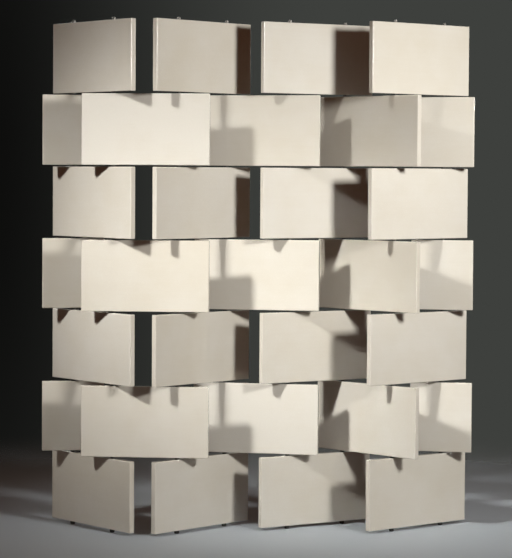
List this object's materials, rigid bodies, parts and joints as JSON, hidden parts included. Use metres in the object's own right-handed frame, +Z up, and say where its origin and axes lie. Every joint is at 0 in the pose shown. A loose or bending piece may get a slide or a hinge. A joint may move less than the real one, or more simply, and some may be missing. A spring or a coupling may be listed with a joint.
{
  "type": "lacquer block screen",
  "caption": "Free-standing folding room screen of cream lacquered wooden blocks laid in staggered rows on upright steel rods, every column hinging about its rods",
  "frame": {"origin": "on the floor, under the centre of the standing screen's box in the pictured fold", "axes": "+Z up along the rods, +X along the screen to the right as pictured, +Y away from the viewer through the screen"},
  "size_m": [1.617, 0.409, 1.892],
  "materials": {
    "cream_lacquer": "cream lacquer over wood, rubbed down and polished to a soft gloss",
    "rod_steel": "drawn steel bar, lightly polished",
    "turned_steel": "turned steel, polished",
    "blackened_steel": "blackened turned steel, satin"
  },
  "bodies": {
    "column_1": {"panel_row1_col1": "cream_lacquer", "panel_row3_col1": "cream_lacquer", "panel_row5_col1": "cream_lacquer", "panel_row7_col1": "cream_lacquer", "pivot_rod_1": "rod_steel", "pivot_rod_2": "rod_steel", "row_spacers_col1": "blackened_steel", "top_washers_col1": "turned_steel", "cap_nuts_col1": "turned_steel", "feet_col1": "blackened_steel"},
    "column_2": {"panel_row1_col2": "cream_lacquer", "panel_row3_col2": "cream_lacquer", "panel_row5_col2": "cream_lacquer", "panel_row7_col2": "cream_lacquer", "pivot_rod_3": "rod_steel", "pivot_rod_4": "rod_steel", "row_spacers_col2": "blackened_steel", "top_washers_col2": "turned_steel", "cap_nuts_col2": "turned_steel", "feet_col2": "blackened_steel"},
    "column_3": {"panel_row1_col3": "cream_lacquer", "panel_row3_col3": "cream_lacquer", "panel_row5_col3": "cream_lacquer", "panel_row7_col3": "cream_lacquer", "pivot_rod_5": "rod_steel", "pivot_rod_6": "rod_steel", "row_spacers_col3": "blackened_steel", "top_washers_col3": "turned_steel", "cap_nuts_col3": "turned_steel", "feet_col3": "blackened_steel"},
    "column_4": {"panel_row1_col4": "cream_lacquer", "panel_row3_col4": "cream_lacquer", "panel_row5_col4": "cream_lacquer", "panel_row7_col4": "cream_lacquer", "pivot_rod_7": "rod_steel", "pivot_rod_8": "rod_steel", "row_spacers_col4": "blackened_steel", "top_washers_col4": "turned_steel", "cap_nuts_col4": "turned_steel", "feet_col4": "blackened_steel"},
    "bridge_1": {"panel_row2_col1": "cream_lacquer", "panel_row4_col1": "cream_lacquer", "panel_row6_col1": "cream_lacquer"},
    "bridge_2": {"panel_row2_col2": "cream_lacquer", "panel_row4_col2": "cream_lacquer", "panel_row6_col2": "cream_lacquer"},
    "bridge_3": {"panel_row2_col3": "cream_lacquer", "panel_row4_col3": "cream_lacquer", "panel_row6_col3": "cream_lacquer"},
    "left_half_row2": {"half_panel_row2_left": "cream_lacquer"},
    "right_half_row2": {"half_panel_row2_right": "cream_lacquer"},
    "left_half_row4": {"half_panel_row4_left": "cream_lacquer"},
    "right_half_row4": {"half_panel_row4_right": "cream_lacquer"},
    "left_half_row6": {"half_panel_row6_left": "cream_lacquer"},
    "right_half_row6": {"half_panel_row6_right": "cream_lacquer"}
  },
  "joints": [
    {"name": "rod_3_fold", "type": "hinge", "parent": "column_2", "child": "bridge_1", "pos_m": [-0.29338, -0.11705, 0], "axis": [0, 0, -1], "range_deg": [-193.8, 96.2]},
    {"name": "rod_2_fold", "type": "hinge", "parent": "bridge_1", "child": "column_1", "pos_m": [-0.53158, -0.09746, 0], "axis": [0, 0, 1], "range_deg": [-101.9, 188.1]},
    {"name": "rod_4_fold", "type": "hinge", "parent": "column_2", "child": "bridge_2", "pos_m": [-0.1219, 0.04943, 0], "axis": [0, 0, -1], "range_deg": [-159.8, 90.2]},
    {"name": "rod_5_fold", "type": "hinge", "parent": "bridge_2", "child": "column_3", "pos_m": [0.11299, 0.0053, 0], "axis": [0, 0, 1], "range_deg": [-144.3, 105.7]},
    {"name": "rod_6_fold", "type": "hinge", "parent": "column_3", "child": "bridge_3", "pos_m": [0.32271, 0.11993, 0], "axis": [0, 0, -1], "range_deg": [-175.7, 74.3]},
    {"name": "rod_7_fold", "type": "hinge", "parent": "bridge_3", "child": "column_4", "pos_m": [0.5003, -0.04003, 0], "axis": [0, 0, 1], "range_deg": [-198.3, 66.7]},
    {"name": "rod_1_left_half_row2_turn", "type": "hinge", "parent": "column_1", "child": "left_half_row2", "pos_m": [-0.69224, 0.07948, 0], "axis": [0, 0, 1], "continuous": true},
    {"name": "rod_1_left_half_row4_turn", "type": "hinge", "parent": "column_1", "child": "left_half_row4", "pos_m": [-0.69224, 0.07948, 0], "axis": [0, 0, 1], "continuous": true},
    {"name": "rod_1_left_half_row6_turn", "type": "hinge", "parent": "column_1", "child": "left_half_row6", "pos_m": [-0.69224, 0.07948, 0], "axis": [0, 0, 1], "continuous": true},
    {"name": "rod_8_right_half_row2_turn", "type": "hinge", "parent": "column_4", "child": "right_half_row2", "pos_m": [0.69289, 0.1015, 0], "axis": [0, 0, 1], "continuous": true},
    {"name": "rod_8_right_half_row4_turn", "type": "hinge", "parent": "column_4", "child": "right_half_row4", "pos_m": [0.69289, 0.1015, 0], "axis": [0, 0, 1], "continuous": true},
    {"name": "rod_8_right_half_row6_turn", "type": "hinge", "parent": "column_4", "child": "right_half_row6", "pos_m": [0.69289, 0.1015, 0], "axis": [0, 0, 1], "continuous": true}
  ]
}
